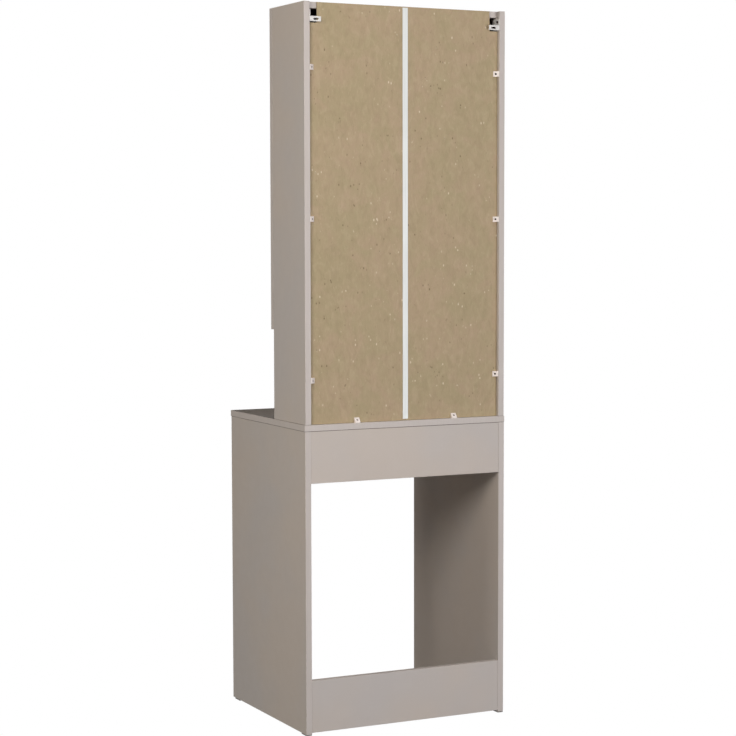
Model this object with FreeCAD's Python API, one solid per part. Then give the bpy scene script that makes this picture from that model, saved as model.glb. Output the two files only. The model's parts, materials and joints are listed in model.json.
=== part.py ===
import FreeCAD, Part
import os
from collections import namedtuple
from FreeCAD import Vector

# A narrow vanity table with a tall mirror cabinet on its rear half.
# Frame: millimetres, +Z up, X across, the front faces -Y and the back +Y.
# The origin is on the floor, under the middle of the object.

# ---- driving dimensions -------------------------------------------------------------
BOARD = 16.0              # melamine chipboard
DRAWER_BOARD = 12.0
FIBREBOARD = 3.0
EDGE_RADIUS = 0.8         # rounding of the edge banding
DRAWER_EDGE_RADIUS = 0.6

TOP_WIDTH = 570.0
TOP_DEPTH = 485.0
TABLE_HEIGHT = 785.0
LOWER_WIDTH = 568.0
LOWER_DEPTH = 483.0
CABINET_WIDTH = 566.0
CABINET_DEPTH = 195.0
TOTAL_HEIGHT = 1828.0
GLIDE_HEIGHT = 3.0

UPPER_RAIL_HEIGHT = 131.0
LOWER_RAIL_HEIGHT = 133.0
RAIL_ABOVE_FLOOR = 7.0
RAIL_INSET = 0.7          # the rails sit a hair in front of the side boards' rear edges

BACK_INSET = 10.0         # from the cabinet's rear edges to the fibreboard
SHELF_BEHIND_GAP = 1.6    # between a shelf and the fibreboard, for the joining strip

DOOR_BOTTOM = 1015.0
DOOR_GAP = 1.0
SHELF_BOTTOM = 1019.0
LOOSE_SHELF_BOTTOMS = (1290.0, 1560.0)
LOOSE_SHELF_SETBACK = 20.0
LOOSE_SHELF_PLAY = 1.5

# ---- planes that follow from them ---------------------------------------------------
REAR = TOP_DEPTH / 2.0
FRONT = -TOP_DEPTH / 2.0
LOWER_FRONT = REAR - LOWER_DEPTH
CABINET_FRONT = REAR - CABINET_DEPTH
TABLE_UNDERSIDE = TABLE_HEIGHT - BOARD
LOWER_INSIDE = LOWER_WIDTH / 2.0 - BOARD
CABINET_INSIDE = CABINET_WIDTH / 2.0 - BOARD
BACK_REAR_FACE = REAR - BACK_INSET
BACK_FRONT_FACE = BACK_REAR_FACE - FIBREBOARD
SHELF_REAR = BACK_FRONT_FACE - SHELF_BEHIND_GAP
DOOR_REAR_FACE = CABINET_FRONT - DOOR_GAP
DOOR_FRONT_FACE = DOOR_REAR_FACE - BOARD

SIDES = (("left", -1.0), ("right", 1.0))
PAST = 1.0                # how far a cutter runs past the face that it opens
X_AXIS = Vector(1, 0, 0)
Y_AXIS = Vector(0, 1, 0)
Z_AXIS = Vector(0, 0, 1)

os.makedirs("parts", exist_ok=True)


# ---- small helpers ------------------------------------------------------------------
def box(x_range, y_range, z_range):
    """A plain box between the two values given along each axis."""
    low = Vector(min(x_range), min(y_range), min(z_range))
    high = Vector(max(x_range), max(y_range), max(z_range))
    size = high - low
    return Part.makeBox(size.x, size.y, size.z, low)


def board(x_range, y_range, z_range, radius=EDGE_RADIUS):
    """A board with banded, slightly rounded edges."""
    solid = box(x_range, y_range, z_range)
    return solid.makeFillet(radius, solid.Edges)


def rod(start, direction, radius, length):
    """A round bar or bore from a start point along a direction."""
    return Part.makeCylinder(radius, length, start, direction)


def prism(outline, direction):
    """A straight solid from a closed outline of points."""
    wire = Part.makePolygon(outline + [outline[0]])
    return Part.Face(wire).extrude(direction)


def cut(solid, cutters):
    """The solid with every cutter taken away."""
    return solid.cut(cutters) if cutters else solid


def save(name, solids):
    """Write one node; identical loose pieces share it as separate solids."""
    pieces = solids if isinstance(solids, list) else [solids]
    shape = pieces[0] if len(pieces) == 1 else Part.makeCompound(pieces)
    shape.exportStep("parts/" + name + ".step")


# ---- knock-down fittings between boards ---------------------------------------------
CAM_RADIUS = 7.5
CAM_DISTANCE = 34.0       # from the joint to the middle of the cam
CAM_DEPTH = 12.5
DRAWER_CAM_DEPTH = 10.5
BOLT_THREAD_DEPTH = 11.0
BOLT_RADIUS = 3.4
BOLT_NECK_RADIUS = 2.2
BOLT_BORE_RADIUS = 3.7
CAM_POCKET_RADIUS = 3.9
CAM_POCKET_PAST_MIDDLE = 1.5
CAM_SLOT_HALF_LENGTH = 4.5
CAM_SLOT_HALF_WIDTH = 0.6
CAM_SLOT_DEPTH = 2.0
BOLT_COLLAR_LENGTH = 12.0 # the thick part that fills the bore's mouth
BOLT_HEAD_BACK = 4.0      # from the cam's middle to the neck side of the head
BOLT_HEAD_LENGTH = 3.0
DOWEL_RADIUS = 3.9
DOWEL_BORE_RADIUS = 4.1
DOWEL_SHORT_END = 11.0
DOWEL_LONG_END = 19.0
BORE_PLAY = 0.2

# loose fittings by the assembly that they stay with
carcass_fittings = {"cam_locks": [], "cam_bolts": [], "dowels": []}
drawer_fittings = {"cam_locks": [], "cam_bolts": [], "dowels": []}


def cam_joint(fittings, point, along, into, thickness=BOARD, depth=CAM_DEPTH):
    """A cam lock and its bolt where a board's end meets another board's face.

    point lies in the joint plane at the middle of the board's thickness, along runs
    into the board that carries the cam, and into is the way the cam is pushed in.
    Returns the bores in the faced board and in the cam's board.
    """
    cam_mouth = point + along * CAM_DISTANCE - into * (thickness / 2.0)
    cam_bore = rod(cam_mouth, into, CAM_RADIUS, depth)
    bolt_hole = rod(point, along, BOLT_BORE_RADIUS, CAM_DISTANCE)
    thread_hole = rod(point, -along, BOLT_BORE_RADIUS, BOLT_THREAD_DEPTH)

    cam = rod(cam_mouth + into * BORE_PLAY, into, CAM_RADIUS - BORE_PLAY, depth - 2 * BORE_PLAY)
    pocket_start = point + along * (CAM_DISTANCE - CAM_RADIUS - PAST)
    head_pocket = rod(pocket_start, along, CAM_POCKET_RADIUS, CAM_RADIUS + CAM_POCKET_PAST_MIDDLE + PAST)
    slot_side = into.cross(along)
    slot_centre = cam_mouth + into * BORE_PLAY
    slots = []
    for arm, width in ((along, slot_side), (slot_side, along)):
        corner = slot_centre - arm * CAM_SLOT_HALF_LENGTH - width * CAM_SLOT_HALF_WIDTH
        far_end = corner + arm * (2.0 * CAM_SLOT_HALF_LENGTH)
        across = width * (2.0 * CAM_SLOT_HALF_WIDTH)
        slots.append(prism([corner, far_end, far_end + across, corner + across], into * CAM_SLOT_DEPTH))
    fittings["cam_locks"].append(cut(cam, [head_pocket] + slots))

    thread_end = point - along * (BOLT_THREAD_DEPTH - BORE_PLAY)
    thread = rod(thread_end, along, BOLT_RADIUS, BOLT_THREAD_DEPTH + BOLT_COLLAR_LENGTH)
    neck = rod(point, along, BOLT_NECK_RADIUS, CAM_DISTANCE - BOLT_HEAD_BACK / 2.0)
    head = rod(point + along * (CAM_DISTANCE - BOLT_HEAD_BACK), along, BOLT_RADIUS, BOLT_HEAD_LENGTH)
    fittings["cam_bolts"].append(thread.fuse([neck, head]))
    return [thread_hole], [cam_bore, bolt_hole]


def dowel_joint(fittings, point, along):
    """A wooden dowel across a joint; returns the bores in both boards."""
    dowel_length = DOWEL_SHORT_END + DOWEL_LONG_END
    fittings["dowels"].append(rod(point - along * DOWEL_SHORT_END, along, DOWEL_RADIUS, dowel_length))
    short_bore = rod(point, -along, DOWEL_BORE_RADIUS, DOWEL_SHORT_END + BORE_PLAY)
    long_bore = rod(point, along, DOWEL_BORE_RADIUS, DOWEL_LONG_END + BORE_PLAY)
    return [short_bore], [long_bore]


ScrewSize = namedtuple("ScrewSize", "shank_radius length head_radius head_height")
CARCASS_RUNNER_SCREW = ScrewSize(1.7, 13.0, 3.2, 1.2)
DRAWER_RUNNER_SCREW = ScrewSize(1.5, 9.5, 3.0, 1.0)
DRAWER_BACK_SCREW = ScrewSize(1.9, 32.0, 3.6, 2.5)
CLIP_SCREW = ScrewSize(1.3, 15.0, 2.5, 1.4)
BRACKET_SCREW = ScrewSize(1.7, 13.0, 3.4, 1.6)
CUP_SCREW = ScrewSize(1.7, 12.0, 3.2, 1.3)
PLATE_SCREW = ScrewSize(1.9, 13.5, 3.4, 1.4)
SCREW_BORE_PAST_TIP = 0.5
CROSS_REACH = 1.1         # the driver cross, from its middle to the end of an arm
CROSS_HALF_WIDTH = 0.35
CROSS_DEPTH_SHARE = 0.6   # of the head's height


def joint_row(fittings, cam_points, dowel_points, along, into, thickness=BOARD, depth=CAM_DEPTH):
    """Cams and dowels along one joint; returns all bores of both boards."""
    faced_bores = []
    end_bores = []
    for point in cam_points:
        faced, end = cam_joint(fittings, point, along, into, thickness, depth)
        faced_bores += faced
        end_bores += end
    for point in dowel_points:
        faced, end = dowel_joint(fittings, point, along)
        faced_bores += faced
        end_bores += end
    return faced_bores, end_bores


def screw(seat, direction, size):
    """A pan-head screw: its shank runs along direction, and its head stands behind the seat."""
    shank = rod(seat, direction, size.shank_radius, size.length)
    head_top = seat - direction * size.head_height
    head = rod(head_top, direction, size.head_radius, size.head_height)
    corners = [head_top + corner for corner in cross_corners(direction, CROSS_REACH, CROSS_HALF_WIDTH)]
    recess = prism(corners, direction * (size.head_height * CROSS_DEPTH_SHARE))
    return head.fuse(shank).cut(recess)


def screw_bore(seat, direction, size):
    """The hole that a screw's shank runs in."""
    length = size.length + PAST + SCREW_BORE_PAST_TIP
    return rod(seat - direction * PAST, direction, size.shank_radius + BORE_PLAY, length)


def cross_corners(direction, reach, half_width):
    """The twelve corners of a small driver cross at right angles to a direction."""
    first = direction.cross(Z_AXIS) if abs(direction.z) < 0.9 else X_AXIS
    first = first.normalize()
    second = direction.cross(first)
    corners = []
    arms = ((first, second), (second, -first), (-first, -second), (-second, first))
    for arm, side in arms:
        corners.append(arm * reach - side * half_width)
        corners.append(arm * reach + side * half_width)
        corners.append(arm * half_width + side * half_width)
    return corners


# ---- lower table: joints first, because they bore the boards -------------------------
lower_side_centre = LOWER_INSIDE + BOARD / 2.0
table_cam_rows = (LOWER_FRONT + 50.0, 0.0, REAR - 90.0)
table_dowel_rows = (LOWER_FRONT + 90.0, REAR - 130.0)
upper_rail_bottom = TABLE_UNDERSIDE - UPPER_RAIL_HEIGHT
lower_rail_top = RAIL_ABOVE_FLOOR + LOWER_RAIL_HEIGHT
rail_rear = REAR - RAIL_INSET
rail_centre_y = rail_rear - BOARD / 2.0

RAILS = (("upper", upper_rail_bottom, TABLE_UNDERSIDE), ("lower", RAIL_ABOVE_FLOOR, lower_rail_top))
RAIL_CAM_INSET = 30.0     # from a rail's long edges to its cams

tabletop_bores = []
lower_side_bores = {"left": [], "right": []}
rail_bores = {"upper": [], "lower": []}
for side, sign in SIDES:
    face_bores, end_bores = joint_row(
        carcass_fittings,
        [Vector(sign * lower_side_centre, y, TABLE_UNDERSIDE) for y in table_cam_rows],
        [Vector(sign * lower_side_centre, y, TABLE_UNDERSIDE) for y in table_dowel_rows],
        -Z_AXIS, X_AXIS * sign)
    tabletop_bores += face_bores
    lower_side_bores[side] += end_bores
    for rail, low, high in RAILS:
        cam_heights = (low + RAIL_CAM_INSET, high - RAIL_CAM_INSET)
        face_bores, end_bores = joint_row(
            carcass_fittings,
            [Vector(sign * LOWER_INSIDE, rail_centre_y, z) for z in cam_heights],
            [Vector(sign * LOWER_INSIDE, rail_centre_y, (low + high) / 2.0)],
            X_AXIS * -sign, Y_AXIS)
        lower_side_bores[side] += face_bores
        rail_bores[rail] += end_bores

# ---- upper cabinet joints -------------------------------------------------------------
cabinet_side_centre = CABINET_INSIDE + BOARD / 2.0
cabinet_cam_rows = (CABINET_FRONT + 35.0, REAR - 45.0)
cabinet_dowel_rows = (CABINET_FRONT + 97.0,)
top_board_centre = TOTAL_HEIGHT - BOARD / 2.0
fixed_shelf_centre = SHELF_BOTTOM + BOARD / 2.0

cabinet_side_bores = {"left": [], "right": []}
top_board_bores = []
fixed_shelf_bores = []
for side, sign in SIDES:
    face_bores, end_bores = joint_row(
        carcass_fittings,
        [Vector(sign * cabinet_side_centre, y, TABLE_HEIGHT) for y in cabinet_cam_rows],
        [Vector(sign * cabinet_side_centre, y, TABLE_HEIGHT) for y in cabinet_dowel_rows],
        Z_AXIS, X_AXIS * sign)
    tabletop_bores += face_bores
    cabinet_side_bores[side] += end_bores
    for centre, into, board_bores in ((top_board_centre, Z_AXIS, top_board_bores),
                                      (fixed_shelf_centre, -Z_AXIS, fixed_shelf_bores)):
        face_bores, end_bores = joint_row(
            carcass_fittings,
            [Vector(sign * CABINET_INSIDE, y, centre) for y in cabinet_cam_rows],
            [Vector(sign * CABINET_INSIDE, y, centre) for y in cabinet_dowel_rows],
            X_AXIS * -sign, into)
        cabinet_side_bores[side] += face_bores
        board_bores += end_bores

# ---- glides under the lower side boards -------------------------------------------------
GLIDE_LENGTH = 30.0
GLIDE_WIDTH = 15.0
GLIDE_FROM_FRONT = 13.0
GLIDE_FROM_REAR = 1.0
GLIDE_PEG_RADIUS = 2.4
GLIDE_PEG_LENGTH = 9.0
GLIDE_ROUNDING = 0.6
glide_ends = (("front", LOWER_FRONT + GLIDE_FROM_FRONT), ("rear", REAR - GLIDE_FROM_REAR - GLIDE_LENGTH))
glide_walls = (lower_side_centre - GLIDE_WIDTH / 2.0, lower_side_centre + GLIDE_WIDTH / 2.0)
for side, sign in SIDES:
    for end, glide_front in glide_ends:
        pad = box([sign * x for x in glide_walls], (glide_front, glide_front + GLIDE_LENGTH),
                  (0.0, GLIDE_HEIGHT))
        lower_edges = [edge for edge in pad.Edges if edge.BoundBox.ZMax < GLIDE_HEIGHT / 2.0]
        pad = pad.makeFillet(GLIDE_ROUNDING, lower_edges)
        pegs = []
        for share in (0.25, 0.75):
            root = Vector(sign * lower_side_centre, glide_front + GLIDE_LENGTH * share, GLIDE_HEIGHT)
            pegs.append(rod(root - Z_AXIS, Z_AXIS, GLIDE_PEG_RADIUS, GLIDE_PEG_LENGTH + 1.0))
            bore = rod(root, Z_AXIS, GLIDE_PEG_RADIUS + BORE_PLAY, GLIDE_PEG_LENGTH + BORE_PLAY)
            lower_side_bores[side].append(bore)
        save(end + "_" + side + "_glide", pad.fuse(pegs))

# ---- drawer runners: steel profiles and plastic rollers ----------------------------------
STEEL = 1.0
DRAWER_GAP = 12.5                      # between each drawer side and the carcass
DRAWER_WALL = LOWER_INSIDE - DRAWER_GAP
DRAWER_FRONT_REAR_FACE = LOWER_FRONT + BOARD
DRAWER_DEPTH = 400.0
DRAWER_BACK_FACE = DRAWER_FRONT_REAR_FACE + DRAWER_DEPTH
DRAWER_SIDE_BOTTOM = 661.0
DRAWER_SIDE_HEIGHT = 90.0
CHANNEL_FLOOR = DRAWER_SIDE_BOTTOM - 3.0
CHANNEL_HEIGHT = 25.0
ROLLER_RADIUS = 11.0
ROLLER_BORE_RADIUS = 2.9
ROLLER_WIDTH = 6.8
ROLLER_PLAY = 0.35
AXLE_RADIUS = 2.5
AXLE_HEAD_RADIUS = 3.6
CARCASS_AXLE_LENGTH = 9.0
CARCASS_AXLE_HEAD = 1.2
DRAWER_AXLE_LENGTH = 8.6
DRAWER_AXLE_HEAD = 1.1
AXLE_HEAD_OVERLAP = 0.8                # of the pin and its riveted head
ROLLER_RIM = 1.0
ROLLER_GROOVE = (5.0, 8.0)             # inner and outer radius of the moulded ring in one face
ROLLER_GROOVE_DEPTH = 1.2
CARCASS_ROLLER_FROM_WALL = 1.3
DRAWER_ROLLER_FROM_STEEL = 0.5
CHANNEL_SETBACK = 2.5                  # of the runners behind the drawer front
PROFILE_SETBACK = 1.0
CHANNEL_FLOOR_REACH = 9.5
CHANNEL_ROOF_REACH = 9.0
PROFILE_UNDER_REACH = 10.5
PROFILE_OVER_REACH = 9.0
ROLLER_HEIGHT = CHANNEL_FLOOR + ROLLER_PLAY + ROLLER_RADIUS
FRONT_ROLLER_Y = DRAWER_FRONT_REAR_FACE + 16.5
REAR_ROLLER_Y = DRAWER_BACK_FACE - 14.0

drawer_side_bores = {"left": [], "right": []}
carcass_runner_screws = []
drawer_runner_screws = []
carcass_axles = []
drawer_axles = []


def roller(inner_x, outer_x, y):
    """A plastic roller with a rounded rim and a bore for its axle."""
    start = Vector(min(inner_x, outer_x), y, ROLLER_HEIGHT)
    body = rod(start, X_AXIS, ROLLER_RADIUS, abs(outer_x - inner_x))
    rims = [edge for edge in body.Edges if edge.Closed]
    body = body.makeFillet(ROLLER_RIM, rims)
    groove_core, groove_rim = (rod(start, X_AXIS, radius, ROLLER_GROOVE_DEPTH) for radius in ROLLER_GROOVE)
    bore = rod(start, X_AXIS, ROLLER_BORE_RADIUS, ROLLER_WIDTH + PAST)
    return body.cut([bore, groove_rim.cut(groove_core)])


def axle(seat, direction, length, head_length):
    """A pin riveted to a runner at the seat, with a head that holds the roller on."""
    pin = rod(seat, direction, AXLE_RADIUS, length)
    head = rod(seat + direction * (length - AXLE_HEAD_OVERLAP), direction, AXLE_HEAD_RADIUS, head_length)
    return pin.fuse(head)


channel_ends = (DRAWER_FRONT_REAR_FACE + CHANNEL_SETBACK, DRAWER_BACK_FACE)
channel_roof = CHANNEL_FLOOR + CHANNEL_HEIGHT
profile_ends = (DRAWER_FRONT_REAR_FACE + PROFILE_SETBACK, DRAWER_BACK_FACE)
profile_roof = ROLLER_HEIGHT + ROLLER_RADIUS + ROLLER_PLAY
carcass_screw_rows = (FRONT_ROLLER_Y + 32.0, 0.0, DRAWER_BACK_FACE - 40.0)
profile_screw_rows = (DRAWER_FRONT_REAR_FACE + 30.0, DRAWER_BACK_FACE - 60.0)

for side, sign in SIDES:
    outward = X_AXIS * sign
    wall_x = sign * LOWER_INSIDE
    drawer_x = sign * DRAWER_WALL

    # the channel on the carcass: a C open towards the drawer
    web = box((wall_x, wall_x - sign * STEEL), channel_ends, (CHANNEL_FLOOR - STEEL, channel_roof + STEEL))
    floor_flange = box((wall_x, wall_x - sign * CHANNEL_FLOOR_REACH), channel_ends,
                       (CHANNEL_FLOOR - STEEL, CHANNEL_FLOOR))
    roof_flange = box((wall_x, wall_x - sign * CHANNEL_ROOF_REACH), channel_ends,
                      (channel_roof, channel_roof + STEEL))
    channel = web.fuse([floor_flange, roof_flange])
    for y in carcass_screw_rows:
        seat = Vector(wall_x - sign * STEEL, y, ROLLER_HEIGHT)
        carcass_runner_screws.append(screw(seat, outward, CARCASS_RUNNER_SCREW))
        bore = screw_bore(seat, outward, CARCASS_RUNNER_SCREW)
        channel = channel.cut(bore)
        lower_side_bores[side].append(bore)
    save(side + "_carcass_runner", channel)

    # its roller turns on a riveted axle near the front end
    axle_seat = Vector(wall_x - sign * STEEL, FRONT_ROLLER_Y, ROLLER_HEIGHT)
    carcass_axles.append(axle(axle_seat, -outward, CARCASS_AXLE_LENGTH, CARCASS_AXLE_HEAD))
    roller_start = wall_x - sign * CARCASS_ROLLER_FROM_WALL
    save(side + "_carcass_roller", roller(roller_start, roller_start - sign * ROLLER_WIDTH, FRONT_ROLLER_Y))

    # the drawer's profile: under the drawer side, up its outer face and out over the roller
    upright = box((drawer_x, drawer_x + sign * STEEL), profile_ends,
                  (DRAWER_SIDE_BOTTOM - STEEL, profile_roof + STEEL))
    under = box((drawer_x - sign * PROFILE_UNDER_REACH, drawer_x + sign * STEEL), profile_ends,
                (DRAWER_SIDE_BOTTOM - STEEL, DRAWER_SIDE_BOTTOM))
    over = box((drawer_x, drawer_x + sign * PROFILE_OVER_REACH), profile_ends,
               (profile_roof, profile_roof + STEEL))
    profile = upright.fuse([under, over])
    for y in profile_screw_rows:
        seat = Vector(drawer_x - sign * DRAWER_BOARD / 2.0, y, DRAWER_SIDE_BOTTOM - STEEL)
        drawer_runner_screws.append(screw(seat, Z_AXIS, DRAWER_RUNNER_SCREW))
        bore = screw_bore(seat, Z_AXIS, DRAWER_RUNNER_SCREW)
        profile = profile.cut(bore)
        drawer_side_bores[side].append(bore)
    save(side + "_drawer_runner", profile)

    # its roller turns near the rear end, inside the channel
    axle_seat = Vector(drawer_x + sign * STEEL, REAR_ROLLER_Y, ROLLER_HEIGHT)
    drawer_axles.append(axle(axle_seat, outward, DRAWER_AXLE_LENGTH, DRAWER_AXLE_HEAD))
    roller_start = drawer_x + sign * (STEEL + DRAWER_ROLLER_FROM_STEEL)
    save(side + "_drawer_roller", roller(roller_start, roller_start + sign * ROLLER_WIDTH, REAR_ROLLER_Y))

save("carcass_runner_screws", carcass_runner_screws)
save("drawer_runner_screws", drawer_runner_screws)
save("carcass_roller_axles", carcass_axles)
save("drawer_roller_axles", drawer_axles)

# ---- lower table boards --------------------------------------------------------------------
for side, sign in SIDES:
    side_board = board((sign * LOWER_INSIDE, sign * LOWER_WIDTH / 2.0), (LOWER_FRONT, REAR),
                       (GLIDE_HEIGHT, TABLE_UNDERSIDE))
    save("lower_" + side + "_side", cut(side_board, lower_side_bores[side]))

for rail, low, high in RAILS:
    rail_board = board((-LOWER_INSIDE, LOWER_INSIDE), (rail_rear - BOARD, rail_rear), (low, high))
    save(rail + "_rear_rail", cut(rail_board, rail_bores[rail]))

# ---- drawer --------------------------------------------------------------------------------
DRAWER_SIDE_CLEARANCE = 2.0
DRAWER_TOP_CLEARANCE = 3.0
GROOVE_PLAY = 0.1
BOTTOM_ABOVE_EDGE = 10.0
SIDE_GROOVE_DEPTH = 5.0
FRONT_GROOVE_DEPTH = 6.0
FINGER_LIP = 8.0
drawer_bottom_low = DRAWER_SIDE_BOTTOM + BOTTOM_ABOVE_EDGE
drawer_bottom_high = drawer_bottom_low + FIBREBOARD
drawer_side_top = DRAWER_SIDE_BOTTOM + DRAWER_SIDE_HEIGHT
drawer_inside = DRAWER_WALL - DRAWER_BOARD
BOTTOM_END_PLAY = 0.5
bottom_half_width = drawer_inside + SIDE_GROOVE_DEPTH - BOTTOM_END_PLAY
bottom_groove_heights = (drawer_bottom_low - GROOVE_PLAY, drawer_bottom_high + GROOVE_PLAY)
drawer_back_front_face = DRAWER_BACK_FACE - DRAWER_BOARD
drawer_fitting_heights = (drawer_side_top - 18.0, drawer_bottom_high + 17.0)
BACK_SCREW_SINK = 3.0     # how deep the screw heads sit in the drawer sides
SINK_PLAY = 0.3

drawer_front_bores = []
drawer_back_bores = []
drawer_back_screws = []
for side, sign in SIDES:
    centre_x = sign * (drawer_inside + DRAWER_BOARD / 2.0)
    face_bores, end_bores = joint_row(
        drawer_fittings,
        [Vector(centre_x, DRAWER_FRONT_REAR_FACE, z) for z in drawer_fitting_heights],
        [], Y_AXIS, X_AXIS * sign, DRAWER_BOARD, DRAWER_CAM_DEPTH)
    drawer_front_bores += face_bores
    drawer_side_bores[side] += end_bores
    inward = X_AXIS * -sign
    for z in drawer_fitting_heights:
        seat = Vector(sign * (DRAWER_WALL - BACK_SCREW_SINK), DRAWER_BACK_FACE - DRAWER_BOARD / 2.0, z)
        drawer_back_screws.append(screw(seat, inward, DRAWER_BACK_SCREW))
        shank_bore = screw_bore(seat, inward, DRAWER_BACK_SCREW)
        head_bore = rod(seat - inward * (BACK_SCREW_SINK + PAST), inward,
                        DRAWER_BACK_SCREW.head_radius + SINK_PLAY, BACK_SCREW_SINK + PAST)
        drawer_side_bores[side] += [shank_bore, head_bore]
        drawer_back_bores.append(shank_bore)

drawer_front = board((-LOWER_INSIDE + DRAWER_SIDE_CLEARANCE, LOWER_INSIDE - DRAWER_SIDE_CLEARANCE),
                     (LOWER_FRONT, DRAWER_FRONT_REAR_FACE),
                     (upper_rail_bottom, TABLE_UNDERSIDE - DRAWER_TOP_CLEARANCE))
# fingers reach under the front, so its lower rear edge is cut away at a slant
finger_lip = prism(
    [Vector(-LOWER_INSIDE, DRAWER_FRONT_REAR_FACE + PAST, upper_rail_bottom - PAST),
     Vector(-LOWER_INSIDE, DRAWER_FRONT_REAR_FACE - FINGER_LIP, upper_rail_bottom - PAST),
     Vector(-LOWER_INSIDE, DRAWER_FRONT_REAR_FACE + PAST, upper_rail_bottom + FINGER_LIP)],
    X_AXIS * (2.0 * LOWER_INSIDE))
front_groove = box((-bottom_half_width - BOTTOM_END_PLAY, bottom_half_width + BOTTOM_END_PLAY),
                   (DRAWER_FRONT_REAR_FACE - FRONT_GROOVE_DEPTH, DRAWER_FRONT_REAR_FACE + PAST),
                   bottom_groove_heights)
save("drawer_front", drawer_front.cut([finger_lip, front_groove] + drawer_front_bores))

for side, sign in SIDES:
    wall = board((sign * drawer_inside, sign * DRAWER_WALL), (DRAWER_FRONT_REAR_FACE, DRAWER_BACK_FACE),
                 (DRAWER_SIDE_BOTTOM, drawer_side_top), DRAWER_EDGE_RADIUS)
    groove = box((sign * (drawer_inside - PAST), sign * (drawer_inside + SIDE_GROOVE_DEPTH)),
                 (DRAWER_FRONT_REAR_FACE - PAST, DRAWER_BACK_FACE + PAST), bottom_groove_heights)
    save("drawer_" + side + "_side", wall.cut([groove] + drawer_side_bores[side]))

drawer_back = board((-drawer_inside, drawer_inside), (drawer_back_front_face, DRAWER_BACK_FACE),
                    (drawer_bottom_high + GROOVE_PLAY, drawer_side_top), DRAWER_EDGE_RADIUS)
save("drawer_back", drawer_back.cut(drawer_back_bores))
save("drawer_back_screws", drawer_back_screws)
save("drawer_bottom", box((-bottom_half_width, bottom_half_width),
                          (DRAWER_FRONT_REAR_FACE - FRONT_GROOVE_DEPTH + BOTTOM_END_PLAY, DRAWER_BACK_FACE),
                          (drawer_bottom_low, drawer_bottom_high)))

# ---- fibreboard back: two panels, their joining strip and the wedge clips -------------------
SIDE_GROOVE = 4.0
PANEL_END_PLAY = 0.5
BACK_BOTTOM = TABLE_HEIGHT + 0.3
BACK_TOP = TOTAL_HEIGHT - PANEL_END_PLAY
NOTCH_X = 243.0           # the corner cut out for the wall bracket
NOTCH_Z = 1777.0
STRIP_WIDTH = 14.5
STRIP_FLANGE = 0.9
STRIP_WEB = 1.0
STRIP_BOTTOM = TABLE_HEIGHT + 4.0
STRIP_TOP = TOTAL_HEIGHT - 3.0
STRIP_PLAY = 0.15

for side, sign in SIDES:
    inner_edge = STRIP_WEB / 2.0 + STRIP_PLAY
    outer_edge = CABINET_INSIDE + SIDE_GROOVE - PANEL_END_PLAY
    panel = box((sign * inner_edge, sign * outer_edge), (BACK_FRONT_FACE, BACK_REAR_FACE),
                (BACK_BOTTOM, BACK_TOP))
    notch = box((sign * NOTCH_X, sign * CABINET_WIDTH), (BACK_FRONT_FACE - PAST, BACK_REAR_FACE + PAST),
                (NOTCH_Z, TOTAL_HEIGHT + PAST))
    save(side + "_back_panel", panel.cut(notch))
    cabinet_side_bores[side].append(
        box((sign * (CABINET_INSIDE - PAST), sign * (CABINET_INSIDE + SIDE_GROOVE)),
            (BACK_FRONT_FACE - GROOVE_PLAY, BACK_REAR_FACE + GROOVE_PLAY),
            (TABLE_HEIGHT - PAST, TOTAL_HEIGHT + PAST)))

strip_heights = (STRIP_BOTTOM, STRIP_TOP)
strip_walls = (-STRIP_WIDTH / 2.0, STRIP_WIDTH / 2.0)
strip_rear = BACK_REAR_FACE + STRIP_PLAY + STRIP_FLANGE
strip_front = BACK_FRONT_FACE - STRIP_PLAY - STRIP_FLANGE
strip_web = box((-STRIP_WEB / 2.0, STRIP_WEB / 2.0), (strip_front, strip_rear), strip_heights)
outer_flange = box(strip_walls, (strip_rear - STRIP_FLANGE, strip_rear), strip_heights)
inner_flange = box(strip_walls, (strip_front, strip_front + STRIP_FLANGE), strip_heights)
save("back_joining_strip", strip_web.fuse([outer_flange, inner_flange]))

CLIP_FOOT = 13.0          # along the fibreboard
CLIP_TOE = 1.8
CLIP_HEEL = 9.4           # along the board it is screwed to
CLIP_HEEL_CROWN = 1.8
CLIP_LENGTH = 13.7
CLIP_ROUNDING = 0.5
CLIP_SEAT = (6.6, 4.6)    # the screw's seat, from the board and from the fibreboard
CLIP_SINK = 6.0
CLIP_HEAD_PLAY = 0.4
CLIP_SCREW_TILT = 0.25    # how far the screw leans forward for each millimetre it goes in
SIDE_CLIP_HEIGHTS = (895.4, 1296.0, 1668.4)
BOTTOM_CLIP_X = 138.0

back_clips = []
back_clip_screws = []


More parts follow.
